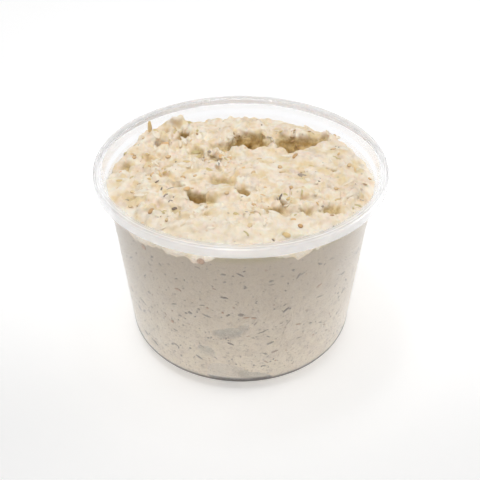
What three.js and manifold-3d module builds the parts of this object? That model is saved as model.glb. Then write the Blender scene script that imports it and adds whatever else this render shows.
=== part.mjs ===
// A round clear plastic tub filled with baba ganoush, a dip of smoked aubergine and sesame paste.
// Millimetres, +Z up. The origin is the centre of the tub's base, on the surface it stands on.
// The front of the tub, where the air pockets show through the wall, faces -Y.
import * as THREE from "three";
import { mergeVertices } from "three/addons/utils/BufferGeometryUtils.js";
import Module from "manifold-3d";

// Driving dimensions of the tub.
const RIM_RADIUS = 58.5; // the common 117 mm lid size
const HEIGHT = 80.1;
const BASE_RADIUS = 47.4; // where the wall's line would meet the table without the rounded corner
const WALL_TOP_RADIUS = 54.1; // outside of the wall, level with the skirt's lower edge
const CORNER_RADIUS = 8.7;
const WALL = 0.6;
const RING_INNER_RADIUS = 55;
const RING_THICKNESS = 0.7;
const RING_EDGE = 0.5; // rounding of the ring's two upper edges
const SKIRT_DROP = 4.1;
const LEDGE_TOP = 75.2; // a stacking ledge runs round the inside, under the collar
const LEDGE_BOTTOM = 73.9;
const COLLAR_DRAFT = 0.4;

// Driving dimensions of the dip.
const GAP = 0.3; // clearance between the dip and the wall
const CONTACT_BACK = 70.6; // level of the line where the dip meets the wall
const CONTACT_FRONT = 72.2;
const MOUND = 4.4; // how far the middle stands above the contact line
const SHOULDER = 4; // width of the rounded edge along the wall
const SEGMENTS = 64;
const TOP_RINGS = 22;
const WALL_RINGS = 9;
const CORNER_STEPS = 6;

// Marks that the spoon left in the surface: the centre, half length and half width, depth,
// and the turn of the long side from +X in degrees. A lean above zero puts the deep end forward.
const HOLLOWS = [
  { x: 2, y: 26, length: 9, width: 7.5, depth: 5, turn: 0, lean: 0.6 },
  { x: 23, y: 25, length: 10, width: 7, depth: 5, turn: 6, lean: 0.5 },
  { x: 35, y: 25, length: 9, width: 3.5, depth: 2, turn: 4, lean: 0.3 },
  { x: -15, y: -19, length: 6, width: 6, depth: 6.5, turn: -30, lean: 0.5 },
  { x: -6, y: -12, length: 9, width: 4, depth: 2.4, turn: -14, lean: 0.4 },
  { x: 1, y: -19, length: 4, width: 3.5, depth: 2.6, turn: 0, lean: 0.4 },
  { x: 12, y: -29, length: 6.5, width: 3.5, depth: 2, turn: 0, lean: 0.4 },
  { x: 23, y: -31, length: 7, width: 3, depth: 1.8, turn: 8, lean: 0.4 },
  { x: 35, y: -26, length: 5.5, width: 4.5, depth: 2.8, turn: 40, lean: 0.4 },
];

// Clumps that stand up out of the surface: the centre, radius and height.
const CLUMPS = [
  { x: -39, y: 37, radius: 6, height: 4.6 },
  { x: -28, y: 42, radius: 8, height: 3.4 },
  { x: -33, y: 31, radius: 7, height: 2 },
  { x: 39, y: 33, radius: 6, height: 2.4 },
  { x: 12, y: 19, radius: 9, height: 1.2 },
  { x: 8, y: 0, radius: 16, height: 1 },
  { x: -47, y: -9, radius: 8, height: 1.6 },
  { x: 47, y: -8, radius: 8, height: 1.6 },
  { x: -24, y: -33, radius: 10, height: 1.4 },
  { x: 22, y: -42, radius: 9, height: 1.2 },
];

// Air trapped between the dip and the wall: direction round the tub in degrees, height,
// width along the wall, height and depth of the pocket.
const POCKETS = [
  { direction: -94.5, z: 34.6, wide: 15, high: 5.8, deep: 1.5 },
  { direction: -106.3, z: 21.2, wide: 7.6, high: 4.6, deep: 1.3 },
  { direction: -92, z: 6.5, wide: 26, high: 11, deep: 1.6 },
];

const TAPER = (WALL_TOP_RADIUS - BASE_RADIUS) / (HEIGHT - SKIRT_DROP);
const SLANT = Math.hypot(1, TAPER); // length along the wall for each millimetre of height
const TAPER_ANGLE = Math.atan(TAPER);
const CORNER_CENTRE = BASE_RADIUS + TAPER * CORNER_RADIUS - CORNER_RADIUS * SLANT;

const wasm = await Module();
wasm.setup();

// Radius of the surface that lies the given depth inside the wall's outer face.
function wallRadius(z, depth) {
  return BASE_RADIUS + TAPER * z - depth * SLANT;
}

// Points of an arc in the radius-height plane, angles in radians.
function arc(centreR, centreZ, radius, from, to, steps) {
  const points = [];
  for (let i = 0; i <= steps; i += 1) {
    const angle = from + ((to - from) * i) / steps;
    const r = centreR + radius * Math.cos(angle);
    const z = centreZ + radius * Math.sin(angle);
    points.push(new THREE.Vector2(r, z));
  }
  return points;
}

// The rounded corner between the base and the wall, the given depth inside the outer face.
function cornerArc(depth) {
  const radius = CORNER_RADIUS - depth;
  return arc(CORNER_CENTRE, CORNER_RADIUS, radius, -Math.PI / 2, -TAPER_ANGLE, CORNER_STEPS);
}

// The outside of the tub from the middle of its base up to the collar under the ring.
function outerProfile() {
  const ledgeOut = LEDGE_BOTTOM - WALL;
  const collarFoot = RING_INNER_RADIUS - COLLAR_DRAFT + WALL;
  return [
    new THREE.Vector2(0, 0),
    ...cornerArc(0),
    new THREE.Vector2(wallRadius(ledgeOut, 0), ledgeOut),
    new THREE.Vector2(collarFoot, LEDGE_TOP - WALL / 2),
    new THREE.Vector2(RING_INNER_RADIUS + WALL, HEIGHT - RING_THICKNESS),
  ];
}

// The flat ring on top and the skirt that hangs from its outer edge.
function rimProfile() {
  const skirtInner = RIM_RADIUS - RING_THICKNESS;
  const skirtFoot = HEIGHT - SKIRT_DROP;
  const edgeHeight = HEIGHT - RING_EDGE;
  return [
    new THREE.Vector2(skirtInner, HEIGHT - RING_THICKNESS),
    new THREE.Vector2(skirtInner, skirtFoot),
    new THREE.Vector2(RIM_RADIUS, skirtFoot),
    ...arc(RIM_RADIUS - RING_EDGE, edgeHeight, RING_EDGE, 0, Math.PI / 2, 3),
    ...arc(RING_INNER_RADIUS + RING_EDGE, edgeHeight, RING_EDGE, Math.PI / 2, Math.PI, 3),
  ];
}

// The inside of the tub from the collar down over the ledge to the middle of the floor.
function innerProfile() {
  return [
    new THREE.Vector2(RING_INNER_RADIUS - COLLAR_DRAFT, LEDGE_TOP),
    new THREE.Vector2(wallRadius(LEDGE_BOTTOM, WALL), LEDGE_BOTTOM),
    ...cornerArc(WALL).reverse(),
    new THREE.Vector2(0, WALL),
  ];
}

function tubGeometry() {
  const profile = [...outerProfile(), ...rimProfile(), ...innerProfile()];
  return new THREE.LatheGeometry(profile, SEGMENTS);
}

// A bump of height 1 in the middle that fades to 0 at distance 1.
function fade(distance) {
  const inside = Math.max(0, 1 - distance * distance);
  return inside * inside * (3 - 2 * inside);
}

// How deep a spoon mark is at a point; its deep end leans towards the front.
function hollowDepth(mark, x, y) {
  const turn = THREE.MathUtils.degToRad(mark.turn);
  const dx = x - mark.x;
  const dy = y - mark.y;
  const along = (dx * Math.cos(turn) + dy * Math.sin(turn)) / mark.length;
  const across = (dy * Math.cos(turn) - dx * Math.sin(turn)) / mark.width;
  const lean = 1 - mark.lean * THREE.MathUtils.clamp(across, -1, 1);
  return mark.depth * lean * fade(Math.hypot(along, across));
}

function clumpHeight(clump, x, y) {
  return clump.height * fade(Math.hypot(x - clump.x, y - clump.y) / clump.radius);
}

// Slow unevenness of the stirred surface.
function ripple(x, y) {
  const wide = Math.sin(x / 7.3 + y / 11.9 + 0.6) * Math.cos(y / 6.1 - x / 15.1);
  const narrow = Math.sin(x / 3.9 - y / 5.3) * Math.sin(y / 4.3 + x / 8.7 + 1.1);
  return 0.5 * wide + 0.3 * narrow;
}

// Level of the line where the dip meets the wall: low at the back, high at the front.
function contactLevel(x, y) {
  const forward = 0.5 - (0.5 * y) / Math.max(1, Math.hypot(x, y));
  return THREE.MathUtils.lerp(CONTACT_BACK, CONTACT_FRONT, forward);
}

// The dip's upper surface: a mound with a rounded shoulder, spoon marks and clumps.
function surfaceLevel(x, y, edgeRadius) {
  const fromWall = Math.max(0, edgeRadius - Math.hypot(x, y));
  const rise = 1 - Math.exp(-fromWall / SHOULDER);
  const marks = HOLLOWS.reduce((sum, mark) => sum + hollowDepth(mark, x, y), 0);
  const clumps = CLUMPS.reduce((sum, clump) => sum + clumpHeight(clump, x, y), 0);
  return contactLevel(x, y) + rise * (MOUND + ripple(x, y) - marks + clumps);
}

// The dip's outline before its top is shaped: floor, corner, wall and a flat top in rings.
function dipProfile() {
  const depth = WALL + GAP;
  const edge = wallRadius(CONTACT_BACK, depth);
  const profile = [new THREE.Vector2(0, depth), ...cornerArc(depth)];
  for (let i = 1; i <= WALL_RINGS; i += 1) {
    const z = THREE.MathUtils.lerp(CORNER_RADIUS, CONTACT_BACK, i / WALL_RINGS);
    profile.push(new THREE.Vector2(wallRadius(z, depth), z));
  }
  for (let i = TOP_RINGS - 1; i >= 0; i -= 1) {
    profile.push(new THREE.Vector2((edge * i) / TOP_RINGS, CONTACT_BACK));
  }
  return { profile, edge };
}

// LatheGeometry turns its profile round Y; this stands the height axis up along Z.
function standUp(geometry) {
  return geometry.rotateX(Math.PI / 2);
}

// The dip with its top raised to the surface level; the wall's top edge follows the contact line.
function filledShape() {
  const { profile, edge } = dipProfile();
  const geometry = standUp(new THREE.LatheGeometry(profile, SEGMENTS));
  const position = geometry.getAttribute("position");
  for (let i = 0; i < position.count; i += 1) {
    const x = position.getX(i);
    const y = position.getY(i);
    if (Math.abs(position.getZ(i) - CONTACT_BACK) < 1e-3) {
      const level = surfaceLevel(x, y, edge);
      const lean = 1 + (TAPER * (contactLevel(x, y) - CONTACT_BACK)) / edge;
      position.setXYZ(i, x * lean, y * lean, level);
    }
  }
  return geometry;
}

// A pocket of trapped air: an ellipsoid sunk into the dip's face through the wall's inner side.
function pocketShape(pocket) {
  const geometry = new THREE.SphereGeometry(1, 18, 12);
  const radius = wallRadius(pocket.z, WALL + GAP);
  const place = new THREE.Object3D();
  place.rotation.z = THREE.MathUtils.degToRad(pocket.direction);
  place.position.set(radius, 0, pocket.z).applyEuler(place.rotation);
  place.scale.set(pocket.deep, pocket.wide / 2, pocket.high / 2);
  place.updateMatrix();
  return geometry.applyMatrix4(place.matrix);
}

function toSolid(geometry) {
  const bare = geometry.clone();
  bare.deleteAttribute("normal");
  bare.deleteAttribute("uv");
  const merged = mergeVertices(bare, 1e-4);
  const vertProperties = new Float32Array(merged.getAttribute("position").array);
  const triVerts = new Uint32Array(merged.index.array);
  return new wasm.Manifold(new wasm.Mesh({ numProp: 3, vertProperties, triVerts }));
}

function toGeometry(solid) {
  const mesh = solid.getMesh();
  const geometry = new THREE.BufferGeometry();
  geometry.setAttribute("position", new THREE.BufferAttribute(mesh.vertProperties, 3));
  geometry.setIndex(new THREE.BufferAttribute(mesh.triVerts, 1));
  geometry.computeVertexNormals();
  return geometry;
}

function dipGeometry() {
  const filled = toSolid(filledShape());
  const hollowed = POCKETS.reduce((solid, pocket) => solid.subtract(toSolid(pocketShape(pocket))), filled);
  return toGeometry(hollowed);
}

function clearPlastic() {
  return new THREE.MeshStandardMaterial({
    color: 0xeeeef2,
    roughness: 0.2,
    metalness: 0,
    transparent: true,
    opacity: 0.3,
  });
}

function creamyDip() {
  return new THREE.MeshStandardMaterial({ color: 0xe6d6b8, roughness: 0.55, metalness: 0 });
}

function namedMesh(name, geometry, material) {
  const mesh = new THREE.Mesh(geometry, material);
  mesh.name = name;
  return mesh;
}

const group = new THREE.Group();
group.add(namedMesh("tub", standUp(tubGeometry()), clearPlastic()));
group.add(namedMesh("dip", dipGeometry(), creamyDip()));

export default group;
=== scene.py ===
# %% [markdown]
# # A tub of baba ganoush
# The object is a round tub of thin clear plastic, filled above its ledge with a smoked aubergine and
# sesame dip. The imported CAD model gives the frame: its two solids, the tub and the dip, say where
# everything goes. Each is replaced here by a finer mesh, and the seeds, charred flecks and scraps of
# skin that a CAD solid can't hold are added on top. Everything is in metres, and the tables of sizes
# are in millimetres, because the real thing would be measured that way.

import math
import random

import bmesh
import bpy
import numpy as np
from mathutils import Matrix, Vector, noise
from mathutils.bvhtree import BVHTree


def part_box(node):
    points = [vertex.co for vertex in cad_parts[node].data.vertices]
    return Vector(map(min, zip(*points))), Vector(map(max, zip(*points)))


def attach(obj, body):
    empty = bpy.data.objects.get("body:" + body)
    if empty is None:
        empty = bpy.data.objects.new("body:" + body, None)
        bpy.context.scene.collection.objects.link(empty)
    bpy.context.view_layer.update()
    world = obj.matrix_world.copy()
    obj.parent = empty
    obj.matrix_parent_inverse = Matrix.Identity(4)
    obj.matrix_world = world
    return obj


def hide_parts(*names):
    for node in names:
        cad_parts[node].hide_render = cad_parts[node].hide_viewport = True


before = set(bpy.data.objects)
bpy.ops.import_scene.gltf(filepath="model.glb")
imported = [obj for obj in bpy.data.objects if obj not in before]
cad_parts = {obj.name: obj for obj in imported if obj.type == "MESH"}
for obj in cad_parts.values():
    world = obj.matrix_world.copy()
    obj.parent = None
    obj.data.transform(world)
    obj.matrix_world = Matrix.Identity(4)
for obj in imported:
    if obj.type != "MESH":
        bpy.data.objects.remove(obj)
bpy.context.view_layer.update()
MM = 0.001

# %% [markdown]
# ## Shader maths as plain expressions
# A finish is a small graph of nodes. Wiring each Math node by hand hides the idea, so one class wraps
# a socket and lets `1 - mask * 0.5` add its own nodes. Colours must not pass through Math nodes, which
# turn them grey, so they are blended by a Mix node instead. Every other node comes from one method.

# %% A value that varies over a surface
class Field:
    """One output socket of a finish, which can be used in sums."""

    def __init__(self, finish, socket):
        self.finish = finish
        self.socket = socket

    def maths(self, operation, first, second):
        return self.finish.node("ShaderNodeMath", {"operation": operation}, {0: first, 1: second})

    def __add__(self, other):
        return self.maths("ADD", self, other)

    def __radd__(self, other):
        return self.maths("ADD", other, self)

    def __sub__(self, other):
        return self.maths("SUBTRACT", self, other)

    def __rsub__(self, other):
        return self.maths("SUBTRACT", other, self)

    def __mul__(self, other):
        return self.maths("MULTIPLY", self, other)

    def __rmul__(self, other):
        return self.maths("MULTIPLY", other, self)

    def __pow__(self, other):
        return self.maths("POWER", self, other)

    def __gt__(self, other):
        return self.maths("GREATER_THAN", self, other)


# %% A finish
class Finish:
    """A material and the nodes that make it."""

    def __init__(self, name):
        self.material = bpy.data.materials.new(name)
        self.material.use_nodes = True
        self.tree = self.material.node_tree
        self.tree.nodes.clear()

    def node(self, kind, settings=None, values=None, output=0):
        """Adds a node: its settings are set first, then its sockets get a value or a link."""
        made = self.tree.nodes.new(kind)
        for name, setting in (settings or {}).items():
            setattr(made, name, setting)
        for socket, value in (values or {}).items():
            if isinstance(value, Field):
                self.tree.links.new(value.socket, made.inputs[socket])
            else:
                made.inputs[socket].default_value = value
        return Field(self, made.outputs[output]) if made.outputs else made

    def step(self, value, low, high):
        """0 below low, 1 above high and a smooth climb between them."""
        settings = {"interpolation_type": "SMOOTHSTEP", "clamp": True}
        return self.node("ShaderNodeMapRange", settings, {0: value, 1: low, 2: high, 3: 0.0, 4: 1.0})

    def blend(self, share, first, second):
        """The first colour where share is 0, the second where it is 1."""
        return self.node("ShaderNodeMix", {"data_type": "RGBA"}, {0: share, 6: first, 7: second}, 2)

    def grain(self, place, size_mm, detail=2.0, roughness=0.5, output=0):
        """Cloudy noise whose patches are about size_mm wide."""
        values = {"Vector": place, "Scale": 1 / (size_mm * MM), "Detail": detail, "Roughness": roughness}
        return self.node("ShaderNodeTexNoise", None, values, output)

    def cells(self, place, size_mm, output="Distance"):
        """Scattered points about size_mm apart: the distance to the nearest, or its colour."""
        values = {"Vector": place, "Scale": 1 / (size_mm * MM), "Randomness": 1.0}
        return self.node("ShaderNodeTexVoronoi", None, values, output)

    def bump(self, height, distance_mm, strength=1.0):
        values = {"Height": height, "Distance": distance_mm * MM, "Strength": strength}
        return self.node("ShaderNodeBump", None, values)

    def shows(self, shader):
        self.node("ShaderNodeOutputMaterial", None, {"Surface": shader})
        return self.material


def linear(red, green, blue):
    """A colour as a camera stores it, from 0 to 255, as the light values that shaders want."""
    shares = [c / 255 for c in (red, green, blue)]
    return tuple(c / 12.92 if c <= 0.04045 else ((c + 0.055) / 1.055) ** 2.4 for c in shares) + (1.0,)


# %% [markdown]
# ## From a mesh in the making to a finished piece
# A bmesh is Blender's editable mesh. When it is ready it becomes a mesh block on an object at the
# origin, so that the frame and the Object coordinates of the materials agree.

# %% Finishing a piece
def finished(name, shape, material):
    """Turns a bmesh into an object that rides on the frame."""
    mesh = bpy.data.meshes.new(name)
    shape.to_mesh(mesh)
    shape.free()
    mesh.shade_smooth()
    mesh.materials.append(material)
    piece = bpy.data.objects.new(name, mesh)
    bpy.context.scene.collection.objects.link(piece)
    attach(piece, "root")
    triangles = sum(len(face.vertices) - 2 for face in mesh.polygons)
    print(f"{name}: {triangles} triangles")
    return piece


# %% [markdown]
# ## The outline of the tub
# A deli tub is pressed from one sheet. From the middle of its base the sheet runs out, turns up
# through a rounded corner, climbs a slightly flared wall, steps out over a stacking ledge, rises as
# a short collar, lies flat as a ring and drops as a skirt. Because it is round, its section is drawn
# once and spun. Only the corners of the section are placed. A vertex bevel rounds each of them, which
# is simpler than working out the arcs.

# %% Sizes of the tub
TUB_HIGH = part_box("tub")[1] / MM
RIM_RADIUS = TUB_HIGH.x
HEIGHT = TUB_HIGH.z
BASE_RADIUS = 47.4
WALL_TOP_RADIUS = 54.1
SKIRT_DROP = 4.1
WALL = 0.6
CORNER_RADIUS = 8.7
RING_INNER_RADIUS = 55.0
RING_THICKNESS = 0.7
LEDGE_TOP = 75.2
LEDGE_BOTTOM = 73.9
TAPER = (WALL_TOP_RADIUS - BASE_RADIUS) / (HEIGHT - SKIRT_DROP)
SLANT = math.hypot(1, TAPER)
TUB_STEPS = 192


def wall_radius(z, depth):
    """Radius of the surface that lies depth inside the wall's outer face, in millimetres."""
    return BASE_RADIUS + TAPER * z - depth * SLANT


print("tub:", round(2 * RIM_RADIUS, 1), "mm across,", round(HEIGHT, 1), "mm high")

# %% Rounding and spinning a section
def section(shape, corners, wide_steps=8):
    """Draws a section in the plane of X and Z from corners of radius, height and rounding."""
    points = [Vector((radius, 0, height)) * MM for radius, height, _ in corners]
    made = [shape.verts.new(point) for point in points]
    for first, second in zip(made, made[1:]):
        shape.edges.new((first, second))
    for index, (_, _, rounding) in enumerate(corners):
        if rounding:
            before = (points[index] - points[index - 1]).normalized()
            after = (points[index + 1] - points[index]).normalized()
            reach = rounding * MM * math.tan(before.angle(after) / 2)
            steps = wide_steps if rounding > 2 else 3
            bmesh.ops.bevel(
                shape, geom=[made[index]], offset=reach, offset_type="OFFSET", segments=steps,
                profile=0.5, affect="VERTICES", material=-1,
            )


def spun(shape, steps):
    """Spins a section once round the Z axis and closes its seam and poles."""
    bmesh.ops.spin(
        shape, geom=shape.verts[:] + shape.edges[:], cent=(0, 0, 0), axis=(0, 0, 1), dvec=(0, 0, 0),
        angle=math.tau, steps=steps, use_merge=True, use_duplicate=False,
    )
    bmesh.ops.remove_doubles(shape, verts=shape.verts, dist=0.005 * MM)
    bmesh.ops.recalc_face_normals(shape, faces=shape.faces)
    return shape


# %% [markdown]
# ## The clear plastic
# Clear polypropylene lets most light straight through, mirrors a little of it at its two faces and
# more of it where it is seen edge-on, and is slightly milky where it is thick. A wall 0.6 mm thick
# hardly bends what is behind it, so real glass would only add noise and dark caustics. A Transparent
# shader mixed with a glossy one, by how edge-on the face is seen, gives the same look and lets the
# lamps light the dip. The milkiness is a pale scattering shader, stronger in the ring and skirt than
# in the wall. Under the rounded corner, where the sheet is seen edge-on, a thin dark line is painted
# in as an opaque dark shader: painted shade for the floor's contact shadow seen through the corner.

# %% Clear plastic
HEAD_ON = 0.04
RIM_ON = 0.6
BASE_LINE_SHADE = linear(56, 47, 42)


def clear_plastic():
    finish = Finish("clear_plastic")
    place = finish.node("ShaderNodeTexCoord", output="Object")
    height = finish.node("ShaderNodeSeparateXYZ", None, {0: place}, "Z")
    ripple = finish.grain(place, 9, 1.0)
    surface = finish.bump(ripple, 0.12, 0.35)
    flat = finish.node("ShaderNodeVectorMath", {"operation": "MULTIPLY"}, {0: place, 1: (1, 1, 0)})
    from_axis = finish.node("ShaderNodeVectorMath", {"operation": "LENGTH"}, {0: flat}, 1)
    rim = finish.step(height, 75.0 * MM, 76.0 * MM) * finish.step(from_axis, 55.4 * MM, 56.2 * MM)
    clear = finish.node("ShaderNodeBsdfTransparent", None, {"Color": (0.975, 0.976, 0.982, 1)})
    shine = finish.node(
        "ShaderNodeBsdfGlossy", None,
        {"Color": (1, 1, 1, 1), "Roughness": 0.07 + rim * 0.15, "Normal": surface},
    )
    edge_on = finish.node("ShaderNodeLayerWeight", None, {"Blend": 0.5, "Normal": surface}, "Facing")
    ring_top = rim * finish.step(height, 79.3 * MM, 79.8 * MM)
    skirt = rim * finish.step(from_axis, 58.0 * MM, 58.3 * MM) - ring_top * 0.5
    mirror = HEAD_ON + edge_on**3 * (RIM_ON - HEAD_ON) + rim * 0.04 + skirt * 0.4
    pane = finish.node("ShaderNodeMixShader", None, {0: mirror, 1: clear, 2: shine})
    milk = finish.node(
        "ShaderNodeBsdfPrincipled", {"subsurface_method": "RANDOM_WALK"},
        {
            "Base Color": (0.97, 0.965, 0.97, 1), "Roughness": 0.35, "Specular IOR Level": 0.4,
            "Normal": surface, "Subsurface Weight": 1.0, "Subsurface Scale": 3 * MM,
            "Subsurface Radius": (1.0, 1.0, 1.0),
        },
    )
    bead = finish.step(from_axis, 57.0 * MM, 57.2 * MM) - finish.step(from_axis, 57.5 * MM, 57.7 * MM)
    haze = 0.03 + rim * 0.1 + ring_top * 0.1 + rim * ripple * 0.1 + rim * bead * 0.14
    clouded = finish.node("ShaderNodeMixShader", None, {0: haze, 1: pane, 2: milk})
    # Painted shade: low down and seen edge-on, an opaque dark shader stands in for the contact shadow
    # seen through the corner.
    turned_under = 1 - finish.step(height, 4 * MM, 8 * MM)
    line = finish.step(edge_on, 0.42, 0.6) * turned_under * 0.85
    shade = finish.node("ShaderNodeBsdfPrincipled", None, {"Base Color": BASE_LINE_SHADE, "Roughness": 0.4})
    return finish.shows(finish.node("ShaderNodeMixShader", None, {0: line, 1: clouded, 2: shade}))


# %% The tub
def tub_shape():
    shape = bmesh.new()
    skirt_inner = RIM_RADIUS - RING_THICKNESS
    skirt_foot = HEIGHT - SKIRT_DROP
    ledge_out = LEDGE_BOTTOM - WALL
    section(shape, [
        (0, 0, 0),
        (BASE_RADIUS, 0, CORNER_RADIUS),
        (wall_radius(ledge_out, 0), ledge_out, 0.5),
        (RING_INNER_RADIUS + 0.2, LEDGE_TOP - WALL / 2, 0.5),
        (RING_INNER_RADIUS + WALL, HEIGHT - RING_THICKNESS, 0.3),
        (skirt_inner, HEIGHT - RING_THICKNESS, 0.3),
        (skirt_inner, skirt_foot, 0.2),
        (RIM_RADIUS, skirt_foot, 0.3),
        (RIM_RADIUS, HEIGHT, 0.8),
        (RING_INNER_RADIUS, HEIGHT, 0.6),
        (RING_INNER_RADIUS - 0.4, LEDGE_TOP, 0.4),
        (wall_radius(LEDGE_BOTTOM, WALL), LEDGE_BOTTOM, 0.4),
        (BASE_RADIUS - WALL + TAPER * WALL, WALL, CORNER_RADIUS - WALL),
        (0, WALL, 0),
    ])
    return spun(shape, TUB_STEPS)


tub = finished("tub_shell", tub_shape(), clear_plastic())
tub.modifiers.new("even_shading", "WEIGHTED_NORMAL")
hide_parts("tub")

# %% [markdown]
# ## The dip as a blank
# The dip fills the tub, so its blank is a spun solid like the tub's inside. It reaches a little way
# into the wall, because a gap there would show as an air film. The blank is spun coarsely and then
# subdivided, which is much quicker than spinning it finely, and it leaves an even net of vertices
# for shaping.

# %% The blank
REACH = 0.45
CONTACT = 70.6
FLOOR = REACH
DIP_STEPS = 116
TOP_CUTS = 30
WALL_CUTS = 14


def dip_blank():
    shape = bmesh.new()
    section(shape, [
        (0, FLOOR, 0),
        (BASE_RADIUS - REACH * SLANT + TAPER * FLOOR, FLOOR, CORNER_RADIUS - REACH),
        (wall_radius(CONTACT, REACH), CONTACT, 0),
        (0, CONTACT, 0),
    ], wide_steps=5)
    top = [e for e in shape.edges if all(v.co.z > (CONTACT - 0.1) * MM for v in e.verts)]
    wall = [e for e in shape.edges if e.calc_length() > 50 * MM and e not in top]
    floor = [e for e in shape.edges if all(v.co.z < (FLOOR + 0.01) * MM for v in e.verts)]
    bmesh.ops.subdivide_edges(shape, edges=top, cuts=TOP_CUTS)
    bmesh.ops.subdivide_edges(shape, edges=wall, cuts=WALL_CUTS)
    bmesh.ops.subdivide_edges(shape, edges=floor, cuts=1)
    spun(shape, DIP_STEPS)
    bmesh.ops.subdivide_edges(shape, edges=shape.edges[:], cuts=3, use_grid_fill=True)
    return shape


blank = dip_blank()
print("dip blank:", len(blank.verts), "vertices")

# %% [markdown]
# ## Marks of the spoon
# The dip was spooned in and pressed down. What is left are scoops with one steep side, clumps that
# stand up, a few deep holes, a torn, crumbly skin in places and smooth swept skin in others. Each is
# a small function of the place on the surface, and the surface is their sum. Moving the vertices by
# functions keeps every mark editable, which sculpting by hand would not.

# %% Shapes that marks are made of
def soft(share):
    """Turns a straight climb from 0 to 1 into one that starts and ends gently."""
    share = np.clip(share, 0, 1)
    return share**2 * (3 - 2 * share)


def turned(x, y, mark):
    """Places along and across a mark, in its own half lengths and half widths."""
    turn = math.radians(mark["turn"])
    dx = x - mark["x"]
    dy = y - mark["y"]
    along = (dx * math.cos(turn) + dy * math.sin(turn)) / mark["length"]
    across = (dy * math.cos(turn) - dx * math.sin(turn)) / mark["width"]
    return along, across


def off_peak(t, peak):
    """Distance from a peak that isn't in the middle, so that one side is steeper than the other."""
    return (t - peak) / np.where(t > peak, 1 - peak, 1 + peak)


def pressed(x, y, mark):
    """An oval mark: its full size in the middle, nothing outside, flat inside where it is steep."""
    along, across = turned(x, y, mark)
    away = np.hypot(off_peak(along, mark["far_along"]), off_peak(across, mark["far_across"]))
    return mark["size"] * soft((1 - away) * mark["steep"])


def marks(*rows):
    names = ("x", "y", "length", "width", "size", "turn", "far_along", "far_across", "steep")
    return [dict(zip(names, row)) for row in rows]


def share_of(patches, x, y):
    """How strongly each place belongs to the strongest of some oval patches."""
    return np.max([pressed(x, y, patch) for patch in patches], axis=0)


# %% Scoops, holes and clumps, in millimetres
SCOOPS = marks(
    # x, y, half length, half width, depth, turn, deepest point along, across, steepness
    (3.5, 25.5, 9.5, 9.5, 8.6, -8, 0.1, -0.35, 1.8),
    (4.5, 32.0, 8.0, 4.2, 3.0, -6, 0.0, -0.1, 1.2),
    (-8.5, 21.5, 9, 3.6, 2.6, -16, 0.4, 0.2, 1.3),
    (21.5, 23.0, 7.5, 8.5, 8.6, 20, -0.1, -0.3, 1.9),
    (19.0, 29.0, 5.0, 4.0, 3.0, 10, 0.0, -0.1, 1.2),
    (30, 26.0, 11, 5.2, 5.0, 3, -0.3, 0.35, 1.6),
    (-16.8, -19.0, 4.6, 3.9, 9.0, -38, 0.1, 0.0, 1.7),
    (-12.0, -23.0, 5.0, 2.8, 1.9, -20, 0.0, 0.3, 1.2),
    (-8.0, -8.2, 9, 3.8, 2.3, -30, -0.2, 0.45, 1.2),
    (1, -14.0, 6, 2.6, 1.6, -20, -0.2, 0.3, 1.2),
    (0.3, -16.8, 3.6, 3.6, 4.6, 0, 0.1, 0.2, 1.4),
    (-13, -30.5, 6, 2.8, 1.6, 10, 0.0, 0.4, 1.2),
    (12, -28.8, 9.0, 4.2, 2.2, -6, 0.1, 0.2, 1.0),
    (22.0, -30.6, 7.5, 3.6, 2.0, -8, 0.3, 0.2, 1.0),
    (35.3, -27.0, 5.6, 4.4, 3.2, 35, -0.2, 0.2, 1.2),
    (15.3, -22.8, 4, 1.8, 2.0, -50, 0.0, 0.3, 1.4),
    (27, -21.5, 5, 2.2, 1.3, 25, 0.0, 0.4, 1.2),
    (37.2, 1.2, 4.0, 1.9, 2.4, -45, 0.0, 0.2, 1.5),
    (45, -17.5, 4.5, 1.8, 1.8, -60, 0.0, 0.0, 1.3),
    (38, -12, 7, 2.0, 1.3, -32, 0.0, 0.2, 1.3),
    (-48.0, 5, 5.0, 4, 3.0, 20, 0.0, 0.3, 1.5),
    (-43.5, -18, 2.8, 5, 2.0, 10, 0.0, 0.0, 1.3),
    (-24.5, 30, 5, 4.0, 2.2, -10, 0.0, 0.3, 1.4),
    (-33.5, 33.5, 3.4, 3.0, 2.4, 0, 0.0, 0.3, 1.5),
    (-33.5, 24, 3.6, 2.8, 1.8, 0, 0.0, 0.3, 1.4),
    (-44.5, 14.5, 4, 2.8, 2.0, -20, 0.0, 0.2, 1.3),
    (-18.7, 17, 5.5, 3.4, 2.2, -10, 0.0, 0.4, 1.4),
    (-12, 12, 5, 2.6, 1.8, -50, 0.0, 0.3, 1.3),
    (-9.6, 2.8, 3.6, 1.8, 1.6, -60, 0.0, 0.2, 1.3),
    (-25, -12, 4.5, 3.0, 1.8, -30, 0.0, 0.3, 1.3),
    (-29, 4, 4.5, 2.6, 1.6, 50, 0.0, 0.3, 1.3),
    (-24, -27, 5, 3.0, 1.8, -20, 0.0, 0.3, 1.3),
    (46, 3, 3.0, 6.0, 1.4, 10, 0.0, 0.0, 1.2),
)
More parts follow.
